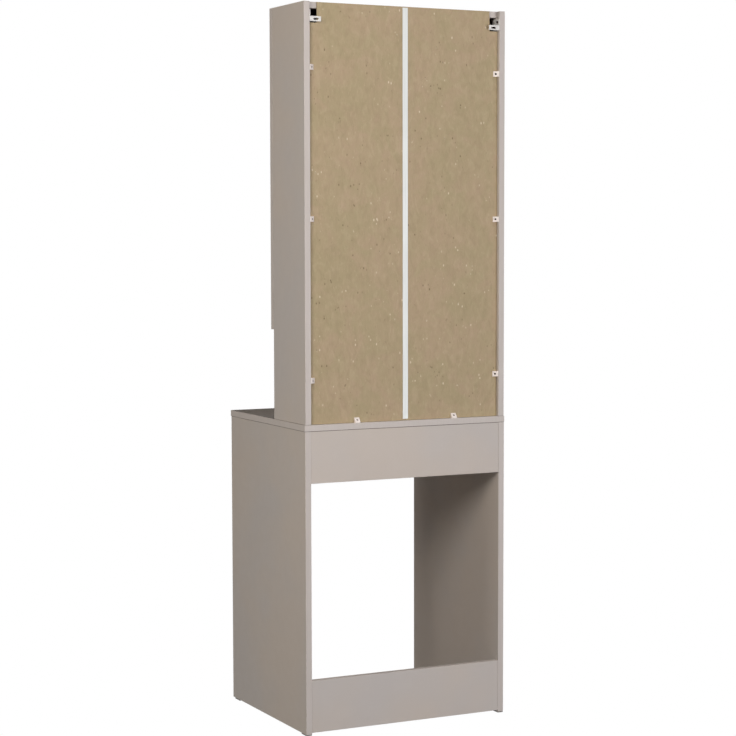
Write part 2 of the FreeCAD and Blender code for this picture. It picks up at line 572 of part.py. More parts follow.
def wedge_clip(corner, away, run):
    """A wedge in the corner between the back and a board.

    corner is where the board's face meets the back, away points from that board,
    and run is the clip's long way. Returns the screw's bore in the board.
    """
    start = corner - run * (CLIP_LENGTH / 2.0)
    outline = [start,
               start + away * CLIP_FOOT,
               start + away * CLIP_FOOT + Y_AXIS * CLIP_TOE,
               start + away * CLIP_HEEL_CROWN + Y_AXIS * CLIP_HEEL,
               start + Y_AXIS * CLIP_HEEL]
    wedge = prism(outline, run * CLIP_LENGTH)
    long_edges = [edge for edge in wedge.Edges if abs(edge.Length - CLIP_LENGTH) < 0.1]
    rounded = [edge for edge in long_edges if edge.CenterOfMass.distanceToPoint(corner) > CLIP_TOE + PAST]
    wedge = wedge.makeFillet(CLIP_ROUNDING, rounded)
    driving = (away * -1.0 - Y_AXIS * CLIP_SCREW_TILT).normalize()
    seat = corner + away * CLIP_SEAT[0] + Y_AXIS * CLIP_SEAT[1]
    head_bore = rod(seat - driving * CLIP_SINK, driving, CLIP_SCREW.head_radius + CLIP_HEAD_PLAY, CLIP_SINK)
    shank_bore = screw_bore(seat, driving, CLIP_SCREW)
    back_clips.append(wedge.cut([head_bore, shank_bore]))
    back_clip_screws.append(screw(seat, driving, CLIP_SCREW))
    return shank_bore


for side, sign in SIDES:
    for z in SIDE_CLIP_HEIGHTS:
        cabinet_side_bores[side].append(
            wedge_clip(Vector(sign * CABINET_INSIDE, BACK_REAR_FACE, z), X_AXIS * -sign, Z_AXIS))
for x in (-BOTTOM_CLIP_X, BOTTOM_CLIP_X):
    tabletop_bores.append(wedge_clip(Vector(x, BACK_REAR_FACE, TABLE_HEIGHT), Z_AXIS, X_AXIS))
save("back_wedge_clips", back_clips)
save("back_clip_screws", back_clip_screws)

# ---- wall brackets ----------------------------------------------------------------------------
BRACKET_STEEL = 1.5
BRACKET_PLATE_LENGTH = 30.5
BRACKET_BOTTOM = 1779.5
BRACKET_PLATE_HEIGHT = 12.5
BRACKET_LEG_TOP = 1808.0
BRACKET_LEG_DEPTH = 32.0
SLOT_HALF_SPACING = 250.0
SLOT_LENGTH = 14.0
SLOT_WIDTH = 5.0
SLOT_ABOVE_EDGE = 5.7
slot_height = BRACKET_BOTTOM + SLOT_ABOVE_EDGE
slot_ends = [SLOT_HALF_SPACING + half * (SLOT_LENGTH - SLOT_WIDTH) for half in (-0.5, 0.5)]
slot_depths = (REAR - BRACKET_STEEL - PAST, REAR + PAST)
bracket_screw_places = ((REAR - 8.0, BRACKET_LEG_TOP - 8.0), (REAR - 24.0, BRACKET_LEG_TOP - 20.0))

bracket_screws = []
for side, sign in SIDES:
    outward = X_AXIS * sign
    inside_x = sign * CABINET_INSIDE
    plate = box((inside_x, inside_x - sign * BRACKET_PLATE_LENGTH), (REAR - BRACKET_STEEL, REAR),
                (BRACKET_BOTTOM, BRACKET_BOTTOM + BRACKET_PLATE_HEIGHT))
    leg = box((inside_x, inside_x - sign * BRACKET_STEEL), (REAR - BRACKET_LEG_DEPTH, REAR),
              (BRACKET_BOTTOM, BRACKET_LEG_TOP))
    slot_middle = box([sign * x for x in slot_ends], slot_depths,
                      (slot_height - SLOT_WIDTH / 2.0, slot_height + SLOT_WIDTH / 2.0))
    slot_rounds = [rod(Vector(sign * x, slot_depths[0], slot_height), Y_AXIS, SLOT_WIDTH / 2.0,
                       slot_depths[1] - slot_depths[0]) for x in slot_ends]
    bracket = plate.fuse(leg).cut([slot_middle] + slot_rounds)
    for y, z in bracket_screw_places:
        seat = Vector(inside_x - sign * BRACKET_STEEL, y, z)
        bracket_screws.append(screw(seat, outward, BRACKET_SCREW))
        bore = screw_bore(seat, outward, BRACKET_SCREW)
        bracket = bracket.cut(bore)
        cabinet_side_bores[side].append(bore)
    save(side + "_wall_bracket", bracket)
save("wall_bracket_screws", bracket_screws)

# ---- loose shelves on pins ----------------------------------------------------------------------
PIN_RADIUS = 2.45
PIN_BORE_RADIUS = 2.6
PIN_DEPTH = 8.0
PIN_REACH = 7.0
PIN_END_GAP = 0.3         # behind the pin, at the bottom of its hole
PIN_COLLAR_RADIUS = 3.9
PIN_COLLAR_THICKNESS = 1.2
SHELF_PLAY = 0.1          # between a pin and the shelf that it carries
HOLE_PITCH = 32.0
pin_rows = (CABINET_FRONT + 37.0, REAR - 53.0)
shelf_pins = []
for side, sign in SIDES:
    inward = X_AXIS * -sign
    for shelf_bottom in LOOSE_SHELF_BOTTOMS:
        pin_height = shelf_bottom - PIN_RADIUS - SHELF_PLAY
        for y in pin_rows:
            mouth = Vector(sign * CABINET_INSIDE, y, pin_height)
            pin_root = PIN_DEPTH - PIN_END_GAP
            pin = rod(mouth - inward * pin_root, inward, PIN_RADIUS, pin_root + PIN_REACH)
            collar = rod(mouth, inward, PIN_COLLAR_RADIUS, PIN_COLLAR_THICKNESS)
            under_shelf = box((-CABINET_WIDTH, CABINET_WIDTH), (y - PIN_DEPTH, y + PIN_DEPTH),
                              (pin_height - PIN_DEPTH, shelf_bottom - SHELF_PLAY))
            shelf_pins.append(pin.fuse(collar.common(under_shelf)))
            for step in (-1, 0, 1):
                hole_mouth = mouth + Z_AXIS * (step * HOLE_PITCH) + inward * PAST
                cabinet_side_bores[side].append(rod(hole_mouth, -inward, PIN_BORE_RADIUS, PIN_DEPTH + PAST))
save("shelf_pins", shelf_pins)

for name, shelf_bottom in zip(("lower_loose_shelf", "upper_loose_shelf"), LOOSE_SHELF_BOTTOMS):
    save(name, board((-CABINET_INSIDE + LOOSE_SHELF_PLAY, CABINET_INSIDE - LOOSE_SHELF_PLAY),
                     (CABINET_FRONT + LOOSE_SHELF_SETBACK, SHELF_REAR), (shelf_bottom, shelf_bottom + BOARD)))

# ---- concealed door hinges on the left ------------------------------------------------------------
HINGE_INSET = 95.0
CUP_RADIUS = 17.5
CUP_FROM_EDGE = 22.5
CUP_DEPTH = 11.5
CUP_WALL = 1.1
WING_THICKNESS = 0.9
WING_HALF_HEIGHT = 29.0
CUP_SCREW_SPACING = 45.0
CUP_SCREW_OFFSET = 9.5
PLATE_FROM_FRONT = 37.0
PLATE_SCREW_SPACING = 32.0
PLATE_THICKNESS = 2.6
ARM_HALF_HEIGHT = 8.0
CUP_PLAY = 0.15
CUP_FLOOR_GAP = 0.1
WING_EDGES = (-1.5, CUP_RADIUS + 2.0)   # of the cup's wing, from the cup's middle
WING_ROUNDING = 6.0
BRIDGE_HALF = CUP_RADIUS - 1.8          # the pin across the cup, which the arm would swing on
BRIDGE_RADIUS = 1.6
BRIDGE_OFFSET = 6.0
BRIDGE_DEPTH = 5.0
PLATE_FRONT = 22.0                      # how far the mounting plate reaches from its screws
PLATE_REAR = 14.0
PLATE_HALF_HEIGHT = 9.0
PLATE_WING_HALF_WIDTH = 7.0
PLATE_WING_HALF_HEIGHT = 25.0
PLATE_ROUNDING = 4.0
ARM_GAP = 0.2                           # between the arm and its plate
ARM_HEIGHT = 9.0
ARM_NOSE_REACH = 17.0
ARM_NOSE_DEPTH = 8.0
ARM_FRONT_SETBACK = 1.6
ARM_WALL = 1.4
ARM_ROUNDING = 1.5
ADJUSTER_RADIUS = 3.2
ADJUSTER_PROUD = 1.5                    # of the arm's back
ADJUSTER_SLOT = (2.6, 0.5)              # half its length and half its width
ADJUSTER_SLOT_DEPTH = 0.9
hinge_heights = (DOOR_BOTTOM + HINGE_INSET, (DOOR_BOTTOM + TOTAL_HEIGHT) / 2.0, TOTAL_HEIGHT - HINGE_INSET)
cup_x = -CABINET_WIDTH / 2.0 + CUP_FROM_EDGE
hinge_wall = -CABINET_INSIDE
plate_y = CABINET_FRONT + PLATE_FROM_FRONT

door_bores = []
hinge_cups = []
cup_screws = []
hinge_arms = []
hinge_plates = []
plate_screws = []


def short_edges(solid, length):
    """The edges of one length, such as a thin plate's corners."""
    return [edge for edge in solid.Edges if abs(edge.Length - length) < 0.01]


def hinge_cup(z):
    """The cup sunk into the door, with its wing, its bridge pin and its two screws."""
    cup_mouth = Vector(cup_x, DOOR_REAR_FACE, z)
    door_bores.append(rod(cup_mouth, -Y_AXIS, CUP_RADIUS, CUP_DEPTH))
    cup = rod(cup_mouth, -Y_AXIS, CUP_RADIUS - CUP_PLAY, CUP_DEPTH - CUP_FLOOR_GAP)
    wing = box([cup_x + edge for edge in WING_EDGES], (DOOR_REAR_FACE, DOOR_REAR_FACE + WING_THICKNESS),
               (z - WING_HALF_HEIGHT, z + WING_HALF_HEIGHT))
    wing = wing.makeFillet(WING_ROUNDING, short_edges(wing, WING_THICKNESS))
    hollow = rod(cup_mouth + Y_AXIS * (WING_THICKNESS + PAST), -Y_AXIS, CUP_RADIUS - CUP_WALL,
                 CUP_DEPTH - CUP_WALL + WING_THICKNESS + PAST)
    cup = cup.fuse(wing).cut(hollow)
    for half in (-0.5, 0.5):
        seat = Vector(cup_x + CUP_SCREW_OFFSET, DOOR_REAR_FACE + WING_THICKNESS, z + half * CUP_SCREW_SPACING)
        cup_screws.append(screw(seat, -Y_AXIS, CUP_SCREW))
        bore = screw_bore(seat, -Y_AXIS, CUP_SCREW)
        cup = cup.cut(bore)
        door_bores.append(bore)
    bridge_foot = Vector(cup_x - BRIDGE_OFFSET, DOOR_REAR_FACE - BRIDGE_DEPTH, z - BRIDGE_HALF)
    return cup.fuse(rod(bridge_foot, Z_AXIS, BRIDGE_RADIUS, 2.0 * BRIDGE_HALF))


def hinge_plate(z):
    """The cross-shaped plate on the cabinet's side, with its two screws."""
    depths = (hinge_wall, hinge_wall + PLATE_THICKNESS)
    plate = box(depths, (plate_y - PLATE_FRONT, plate_y + PLATE_REAR),
                (z - PLATE_HALF_HEIGHT, z + PLATE_HALF_HEIGHT))
    wings = box(depths, (plate_y - PLATE_WING_HALF_WIDTH, plate_y + PLATE_WING_HALF_WIDTH),
                (z - PLATE_WING_HALF_HEIGHT, z + PLATE_WING_HALF_HEIGHT))
    plate = plate.fuse(wings.makeFillet(PLATE_ROUNDING, short_edges(wings, PLATE_THICKNESS)))
    for half in (-0.5, 0.5):
        seat = Vector(hinge_wall + PLATE_THICKNESS, plate_y, z + half * PLATE_SCREW_SPACING)
        plate_screws.append(screw(seat, -X_AXIS, PLATE_SCREW))
        bore = screw_bore(seat, -X_AXIS, PLATE_SCREW)
        plate = plate.cut(bore)
        cabinet_side_bores["left"].append(bore)
    return plate


def hinge_arm(z):
    """The pressed arm over its plate, stepping in towards the cup, with its adjusting screw."""
    seat_x = hinge_wall + PLATE_THICKNESS + ARM_GAP
    crown_x = seat_x + ARM_HEIGHT
    front = CABINET_FRONT + ARM_FRONT_SETBACK
    rear = plate_y + PLATE_REAR + 2.0
    low = z - ARM_HALF_HEIGHT
    outline = [Vector(seat_x, rear, low),
               Vector(seat_x, front + 14.0, low),
               Vector(seat_x + 6.0, front + 5.0, low),
               Vector(crown_x, front, low),
               Vector(seat_x + ARM_NOSE_REACH, front, low),
               Vector(seat_x + ARM_NOSE_REACH, front + ARM_NOSE_DEPTH, low),
               Vector(crown_x + 1.0, front + 18.0, low),
               Vector(crown_x, rear, low)]
    arm = prism(outline, Z_AXIS * (2.0 * ARM_HALF_HEIGHT))
    crown_edges = [edge for edge in arm.Edges
                   if edge.BoundBox.XMin > crown_x - 0.1
                   and edge.BoundBox.YMin > front + ARM_NOSE_DEPTH - PAST
                   and edge.BoundBox.ZLength < 0.1]
    arm = arm.makeFillet(ARM_ROUNDING, crown_edges)
    trough = box((seat_x - PAST, crown_x - 2.0), (front + 15.0, rear + PAST),
                 (low + ARM_WALL, z + ARM_HALF_HEIGHT - ARM_WALL))
    adjuster_start = Vector(crown_x - 3.0, plate_y, z)
    adjuster = rod(adjuster_start, X_AXIS, ADJUSTER_RADIUS, 3.0 + ADJUSTER_PROUD)
    slot_half_length, slot_half_width = ADJUSTER_SLOT
    slot = box((crown_x + ADJUSTER_PROUD - ADJUSTER_SLOT_DEPTH, crown_x + ADJUSTER_PROUD + PAST),
               (plate_y - slot_half_length, plate_y + slot_half_length),
               (z - slot_half_width, z + slot_half_width))
    return arm.cut(trough).fuse(adjuster).cut(slot)


for z in hinge_heights:
    hinge_cups.append(hinge_cup(z))
    hinge_plates.append(hinge_plate(z))
    hinge_arms.append(hinge_arm(z))

save("hinge_cups", hinge_cups)
save("hinge_cup_screws", cup_screws)
save("hinge_arms", hinge_arms)
save("hinge_plates", hinge_plates)
save("hinge_plate_screws", plate_screws)

# ---- mirror door ---------------------------------------------------------------------------------
MIRROR_MARGIN = 20.0
MIRROR_THICKNESS = 4.0
TAPE_THICKNESS = 1.0
TAPE_WIDTH = 19.0
BUFFER_RADIUS = 4.0
BUFFER_THICKNESS = 0.8
MIRROR_EDGE_RADIUS = 0.7
TAPE_END_INSET = 25.0
TAPE_PITCH = 125.0
door_board = board((-CABINET_WIDTH / 2.0, CABINET_WIDTH / 2.0), (DOOR_FRONT_FACE, DOOR_REAR_FACE),
                   (DOOR_BOTTOM, TOTAL_HEIGHT))
save("door_board", cut(door_board, door_bores))

mirror_half_width = CABINET_WIDTH / 2.0 - MIRROR_MARGIN
mirror_heights = (DOOR_BOTTOM + MIRROR_MARGIN, TOTAL_HEIGHT - MIRROR_MARGIN)
mirror_rear = DOOR_FRONT_FACE - TAPE_THICKNESS
save("mirror", board((-mirror_half_width, mirror_half_width), (mirror_rear - MIRROR_THICKNESS, mirror_rear),
                     mirror_heights, MIRROR_EDGE_RADIUS))
tape_heights = (mirror_heights[0] + TAPE_END_INSET, mirror_heights[1] - TAPE_END_INSET)
tape_strips = []
for column in (-1.5, -0.5, 0.5, 1.5):
    centre = column * TAPE_PITCH
    tape_walls = (centre - TAPE_WIDTH / 2.0, centre + TAPE_WIDTH / 2.0)
    tape_strips.append(box(tape_walls, (mirror_rear, DOOR_FRONT_FACE), tape_heights))
save("mirror_mounting_tape", tape_strips)

buffers = []
for z in (fixed_shelf_centre, top_board_centre):
    start = Vector(CABINET_INSIDE + BOARD / 2.0, DOOR_REAR_FACE, z)
    buffers.append(rod(start, Y_AXIS, BUFFER_RADIUS, BUFFER_THICKNESS))
save("door_buffers", buffers)

# ---- cabinet boards ------------------------------------------------------------------------------
for side, sign in SIDES:
    side_board = board((sign * CABINET_INSIDE, sign * CABINET_WIDTH / 2.0), (CABINET_FRONT, REAR),
                       (TABLE_HEIGHT, TOTAL_HEIGHT))
    save("cabinet_" + side + "_side", cut(side_board, cabinet_side_bores[side]))

for name, low, bores in (("cabinet_top", TOTAL_HEIGHT - BOARD, top_board_bores),
                         ("fixed_shelf", SHELF_BOTTOM, fixed_shelf_bores)):
    plank = board((-CABINET_INSIDE, CABINET_INSIDE), (CABINET_FRONT, SHELF_REAR), (low, low + BOARD))
    save(name, cut(plank, bores))

tabletop = board((-TOP_WIDTH / 2.0, TOP_WIDTH / 2.0), (FRONT, REAR), (TABLE_UNDERSIDE, TABLE_HEIGHT))
save("tabletop", cut(tabletop, tabletop_bores))

for name, solids in carcass_fittings.items():
    save(name, solids)
save("drawer_cam_locks", drawer_fittings["cam_locks"])
save("drawer_cam_bolts", drawer_fittings["cam_bolts"])
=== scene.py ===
import json
import math

import bpy
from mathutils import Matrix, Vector


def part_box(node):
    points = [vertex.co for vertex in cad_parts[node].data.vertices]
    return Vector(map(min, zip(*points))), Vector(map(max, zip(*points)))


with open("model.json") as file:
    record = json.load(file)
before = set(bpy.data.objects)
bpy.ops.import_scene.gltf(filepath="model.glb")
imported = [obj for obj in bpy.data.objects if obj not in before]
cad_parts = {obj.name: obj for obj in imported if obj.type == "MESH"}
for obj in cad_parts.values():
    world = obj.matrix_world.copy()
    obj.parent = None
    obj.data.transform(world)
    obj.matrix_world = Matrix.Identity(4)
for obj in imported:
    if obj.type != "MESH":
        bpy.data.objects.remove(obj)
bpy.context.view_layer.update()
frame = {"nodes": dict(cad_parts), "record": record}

MM = 0.001

NODES = frame["nodes"]
SLOT_OF_NODE = {entry["node"]: entry["material_slot"] for entry in frame["record"]["subparts"]}


# ---- small helpers for node trees -----------------------------------------------------
def srgb(red, green, blue):
    """A linear colour from screen values between 0 and 255."""
    channels = []
    for value in (red, green, blue):
        share = value / 255.0
        channels.append(share / 12.92 if share <= 0.04045 else ((share + 0.055) / 1.055) ** 2.4)
    return (*channels, 1.0)


class Tree:
    """A material's node tree, with short calls for the nodes used here."""

    def __init__(self, name):
        self.material = bpy.data.materials.new(name)
        self.material.use_nodes = True
        self.nodes = self.material.node_tree.nodes
        self.links = self.material.node_tree.links
        self.shader = self.nodes["Principled BSDF"]
        self.coordinates = self.nodes.new("ShaderNodeTexCoord")
        self.place = self.coordinates.outputs["Object"]
        self.facing = self.coordinates.outputs["Normal"]

    def put(self, target, value):
        """Link a socket, or set a plain value."""
        if isinstance(value, bpy.types.NodeSocket):
            self.links.new(value, target)
        else:
            target.default_value = value

    def math(self, operation, first, second=0.0, third=0.0):
        node = self.nodes.new("ShaderNodeMath")
        node.operation = operation
        for socket, value in zip(node.inputs, (first, second, third)):
            self.put(socket, value)
        return node.outputs[0]

    def mix(self, factor, first, second):
        """A colour between two others, sockets 6 and 7 of the mixing node."""
        node = self.nodes.new("ShaderNodeMix")
        node.data_type = "RGBA"
        self.put(node.inputs[0], factor)
        self.put(node.inputs[6], first)
        self.put(node.inputs[7], second)
        return node.outputs[2]

    def blend(self, share, inside, outside):
        """A number that is the first value where the share is 1, and the second where it is 0."""
        rest = self.math("MULTIPLY", outside, self.math("SUBTRACT", 1.0, share))
        return self.math("ADD", self.math("MULTIPLY", inside, share), rest)

    def range(self, value, low, high, to_low=0.0, to_high=1.0):
        """A smooth step from one range to another."""
        node = self.nodes.new("ShaderNodeMapRange")
        node.interpolation_type = "SMOOTHSTEP"
        for socket, number in zip(node.inputs, (value, low, high, to_low, to_high)):
            self.put(socket, number)
        return node.outputs[0]

    def split(self, vector):
        node = self.nodes.new("ShaderNodeSeparateXYZ")
        self.put(node.inputs[0], vector)
        return node.outputs

    def stretched(self, scale, turn=(0.0, 0.0, 0.0), shift=(0.0, 0.0, 0.0)):
        """The object's coordinates, moved, turned and scaled."""
        node = self.nodes.new("ShaderNodeMapping")
        self.put(node.inputs["Vector"], self.place)
        node.inputs["Scale"].default_value = scale
        node.inputs["Rotation"].default_value = turn
        node.inputs["Location"].default_value = shift
        return node.outputs[0]

    def noise(self, scale, detail=3.0, roughness=0.5, vector=None, distortion=0.0):
        node = self.nodes.new("ShaderNodeTexNoise")
        self.put(node.inputs["Vector"], self.place if vector is None else vector)
        node.inputs["Scale"].default_value = scale
        node.inputs["Detail"].default_value = detail
        node.inputs["Roughness"].default_value = roughness
        node.inputs["Distortion"].default_value = distortion
        return node.outputs[0]

    def cells(self, scale, feature="F1", vector=None):
        node = self.nodes.new("ShaderNodeTexVoronoi")
        node.feature = feature
        self.put(node.inputs["Vector"], self.place if vector is None else vector)
        node.inputs["Scale"].default_value = scale
        return node.outputs["Distance"]

    def bump(self, height, strength, distance, below=None):
        """A bump on top of an optional earlier one."""
        node = self.nodes.new("ShaderNodeBump")
        node.inputs["Strength"].default_value = strength
        node.inputs["Distance"].default_value = distance
        self.put(node.inputs["Height"], height)
        if below is not None:
            self.put(node.inputs["Normal"], below)
        return node.outputs[0]

    def finish(self, colour, roughness, normal=None, metallic=0.0, specular=0.5):
        self.put(self.shader.inputs["Base Color"], colour)
        self.put(self.shader.inputs["Roughness"], roughness)
        self.put(self.shader.inputs["Metallic"], metallic)
        self.put(self.shader.inputs["Specular IOR Level"], specular)
        if normal is not None:
            self.put(self.shader.inputs["Normal"], normal)
        return self.material


# ---- colours ----------------------------------------------------------------------------
GREIGE = srgb(190, 180, 173)
GREIGE_WARM = srgb(192, 180, 170)
GREIGE_COOL = srgb(187, 179, 174)
GREIGE_BAND = srgb(192, 182, 176)
PAPER_SPECK = srgb(168, 157, 148)
PAPER_RUBBED = srgb(204, 195, 188)
GLUE_LINE = srgb(112, 100, 92)
# painted shade: the colour of the shadow in the joints where the boards meet the tabletop
PAINTED_SEAM_SHADOW = srgb(92, 84, 78)
FIBRE_BROWN = srgb(170, 151, 120)
FIBRE_OLIVE = srgb(163, 148, 115)
FIBRE_PINK = srgb(174, 150, 124)
FIBRE_DARK = srgb(130, 113, 84)
FIBRE_LIGHT = srgb(200, 181, 151)
PALE_CHIP = srgb(218, 202, 176)
BARK = srgb(108, 90, 64)
SILVER = srgb(238, 242, 240)
GLASS_EDGE_DEEP = srgb(122, 150, 140)
GLASS_EDGE_PALE = srgb(158, 182, 172)
BEECH_PALE = srgb(214, 184, 146)
BEECH_BROWN = srgb(186, 150, 108)
BEECH_PORE = srgb(130, 94, 60)
WHITE_PLASTIC = srgb(222, 223, 220)
WHITE_PAINT = srgb(214, 210, 205)


# ---- materials --------------------------------------------------------------------------
GROUND_EDGE_ROUGHNESS = 0.34
BAND_THICKNESS = 0.9 * MM
GLUE_WIDTH = 0.12 * MM
# the painted shadow in the joints: its width, and the boards that are painted darker at their low or
# high end
PAINTED_SHADOW_REACH = 1.0 * MM
PAINTED_SHADOW_LOW_END = ("tabletop", "cabinet_left_side", "cabinet_right_side")
PAINTED_SHADOW_HIGH_END = ("lower_left_side", "lower_right_side", "upper_rear_rail")


def melamine(node_name, thin_axis):
    """Greige melamine with a pressed grain, banded edges with their fine glue line, and a
    painted shadow along the joint where a board stands on or under the tabletop."""
    tree = Tree("melamine_" + node_name)
    low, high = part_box(node_name)
    facing = tree.split(tree.facing)
    on_face = tree.range(tree.math("ABSOLUTE", facing[thin_axis]), 0.6, 0.8)

    # how far a point lies from the nearest banded edge
    place = tree.split(tree.place)
    distances = []
    for axis in range(3):
        if axis != thin_axis:
            middle = (low[axis] + high[axis]) / 2.0
            half = (high[axis] - low[axis]) / 2.0
            offset = tree.math("ABSOLUTE", tree.math("SUBTRACT", place[axis], middle))
            distances.append(tree.math("SUBTRACT", half, offset))
    to_edge = tree.math("MINIMUM", distances[0], distances[1])
    glue_offset = tree.math("ABSOLUTE", tree.math("SUBTRACT", to_edge, BAND_THICKNESS))
    glue = tree.math("MULTIPLY", tree.range(glue_offset, GLUE_WIDTH, 0.0), on_face)

    # broad, very faint drift of the paper's tone, and the print's fine speckle
    drift = tree.noise(2.3, 3.0, 0.6)
    paper = tree.mix(tree.range(drift, 0.35, 0.65), GREIGE_WARM, GREIGE_COOL)
    speckle = tree.noise(900.0, 4.0, 0.7)
    paper = tree.mix(tree.range(speckle, 0.42, 0.72, 0.0, 0.16), paper, PAPER_SPECK)
    handled = tree.noise(14.0, 5.0, 0.65, distortion=0.4)
    paper = tree.mix(tree.range(handled, 0.5, 0.78, 0.0, 0.10), paper, PAPER_RUBBED)
    band_streak = tree.noise(220.0, 2.0, 0.5, tree.stretched((1.0, 1.0, 0.04)))
    band = tree.mix(tree.range(band_streak, 0.3, 0.7), GREIGE_BAND, GREIGE)
    colour = tree.mix(on_face, band, paper)
    colour = tree.mix(tree.math("MULTIPLY", glue, 0.55), colour, GLUE_LINE)
    # painted shade: a narrow band at the board's end that meets the tabletop is darkened, on its
    # upright faces only, standing in for the shadow in the joint
    if node_name in PAINTED_SHADOW_LOW_END + PAINTED_SHADOW_HIGH_END:
        level = low[2] if node_name in PAINTED_SHADOW_LOW_END else high[2]
        from_seam = tree.math("ABSOLUTE", tree.math("SUBTRACT", place[2], level))
        seam_shadow_mask = tree.range(from_seam, PAINTED_SHADOW_REACH, 0.5 * PAINTED_SHADOW_REACH, 0.0, 0.75)
        on_upright = tree.range(tree.math("ABSOLUTE", facing[2]), 0.95, 0.8)
        colour = tree.mix(tree.math("MULTIPLY", seam_shadow_mask, on_upright), colour, PAINTED_SEAM_SHADOW)

    # the press plate's grain: small shallow pits over a slight waviness
    pits = tree.range(tree.cells(1500.0), 0.0, 0.5)
    pit_depth = tree.math("MULTIPLY", pits, 0.3)
    grain = tree.math("MULTIPLY_ADD", tree.noise(650.0, 5.0, 0.6), 0.8, pit_depth)
    normal = tree.bump(grain, 0.28, 0.05 * MM)
    normal = tree.bump(tree.noise(9.0, 2.0, 0.4), 0.05, 0.6 * MM, normal)
    normal = tree.bump(tree.math("SUBTRACT", 1.0, glue), 0.5, 0.05 * MM, normal)
    rough_face = tree.range(tree.noise(38.0, 4.0, 0.6), 0.3, 0.7, 0.46, 0.58)
    rough_band = tree.range(band_streak, 0.3, 0.7, 0.42, 0.50)
    roughness = tree.blend(on_face, rough_face, rough_band)
    return tree.finish(colour, roughness, normal, specular=0.2)


def fibreboard(name, raw_axis, raw_sign):
    """Thin fibreboard: raw pressed fibre on one face, greige lacquer on the other."""
    tree = Tree(name)
    facing = tree.split(tree.facing)
    lacquered = tree.range(tree.math("MULTIPLY", facing[raw_axis], -raw_sign), 0.4, 0.6)

    # soft clouds of olive and pinkish brown, a few hands wide down to a thumb
    clouds = tree.noise(11.0, 5.0, 0.62, distortion=0.8)
    brown = tree.mix(tree.range(clouds, 0.38, 0.62), FIBRE_OLIVE, FIBRE_PINK)
    brown = tree.mix(tree.range(tree.noise(60.0, 4.0, 0.6), 0.35, 0.65, 0.25, 0.75), brown, FIBRE_BROWN)
    smudges = tree.noise(70.0, 1.5, 0.5, tree.stretched((1.0, 1.0, 0.5)), 0.9)
    brown = tree.mix(tree.range(smudges, 0.50, 0.72, 0.0, 0.15), brown, FIBRE_DARK)
    brown = tree.mix(tree.range(smudges, 0.48, 0.28, 0.0, 0.14), brown, FIBRE_LIGHT)

    # matted fibres: noise stretched along three directions and woven together
    strands = []
    for turn in (0.0, 1.05, 2.2):
        vector = tree.stretched((420.0, 420.0, 80.0), (0.0, turn, 0.0), (turn, 0.3, 0.7 * turn))
        strands.append(tree.noise(1.0, 4.0, 0.65, vector, 0.6))
    mat = tree.math("MAXIMUM", strands[0], tree.math("MAXIMUM", strands[1], strands[2]))
    brown = tree.mix(tree.range(mat, 0.58, 0.80, 0.0, 0.55), brown, FIBRE_LIGHT)
    hollows = tree.math("MINIMUM", strands[0], tree.math("MINIMUM", strands[1], strands[2]))
    brown = tree.mix(tree.range(hollows, 0.42, 0.22, 0.0, 0.38), brown, FIBRE_DARK)

    # stray bark specks and pale chips
    warped = tree.stretched((1.0, 1.0, 0.55), (0.0, 0.5, 0.0))
    chip_field = tree.cells(120.0, vector=warped)
    chip_choice = tree.range(tree.noise(33.0, 2.0, 0.5), 0.60, 0.68)
    bark_place = tree.stretched((1.0, 1.0, 1.0), shift=(3.1, 0.0, 1.7))
    bark_choice = tree.range(tree.noise(33.0, 2.0, 0.5, bark_place), 0.58, 0.66)
    chips = tree.math("MULTIPLY", tree.range(chip_field, 0.30, 0.12), chip_choice)
    bark = tree.math("MULTIPLY", tree.range(chip_field, 0.28, 0.10), bark_choice)
    brown = tree.mix(tree.math("MULTIPLY", chips, 0.8), brown, PALE_CHIP)
    brown = tree.mix(tree.math("MULTIPLY", bark, 0.75), brown, BARK)

    lacquer_drift = tree.noise(5.0, 4.0, 0.6)
    lacquer = tree.mix(tree.range(lacquer_drift, 0.3, 0.7), GREIGE_WARM, GREIGE_COOL)
    colour = tree.mix(lacquered, brown, lacquer)

    raw_normal = tree.bump(mat, 0.45, 0.10 * MM)
    raw_normal = tree.bump(tree.noise(6.0, 3.0, 0.5), 0.08, 1.2 * MM, raw_normal)
    rough_raw = tree.range(mat, 0.4, 0.8, 0.80, 0.66)
    rough_lacquer = tree.range(tree.noise(90.0, 3.0, 0.5), 0.3, 0.7, 0.36, 0.46)
    roughness = tree.blend(lacquered, rough_lacquer, rough_raw)
    return tree.finish(colour, roughness, raw_normal, specular=0.25)


def moulded_plastic(name, light, dark, roughness, grain=1400.0, streak=(1.0, 1.0, 1.0)):
    """Moulded or extruded plastic with a fine skin and slight flow streaks."""
    tree = Tree(name)
    flow = tree.noise(160.0, 3.0, 0.6, tree.stretched(streak), 0.3)
    colour = tree.mix(tree.range(flow, 0.35, 0.7), light, dark)
    skin = tree.noise(grain, 3.0, 0.6)
    normal = tree.bump(skin, 0.18, 0.03 * MM)
    normal = tree.bump(flow, 0.12, 0.08 * MM, normal)
    rough = tree.range(tree.noise(120.0, 4.0, 0.6), 0.3, 0.7, roughness - 0.06, roughness + 0.06)
    return tree.finish(colour, rough, normal, specular=0.45)


def powder_coat(name, light, dark, roughness=0.38):
    """Powder-coated steel with an orange-peel skin and a few rubbed spots."""
    tree = Tree(name)
    worn = tree.noise(95.0, 5.0, 0.7, distortion=0.5)
    colour = tree.mix(tree.range(worn, 0.5, 0.72), light, dark)
    peel = tree.cells(950.0, "SMOOTH_F1")
    normal = tree.bump(peel, 0.2, 0.05 * MM)
    rough = tree.range(worn, 0.3, 0.75, roughness - 0.05, roughness + 0.14)
    return tree.finish(colour, rough, normal, specular=0.5)


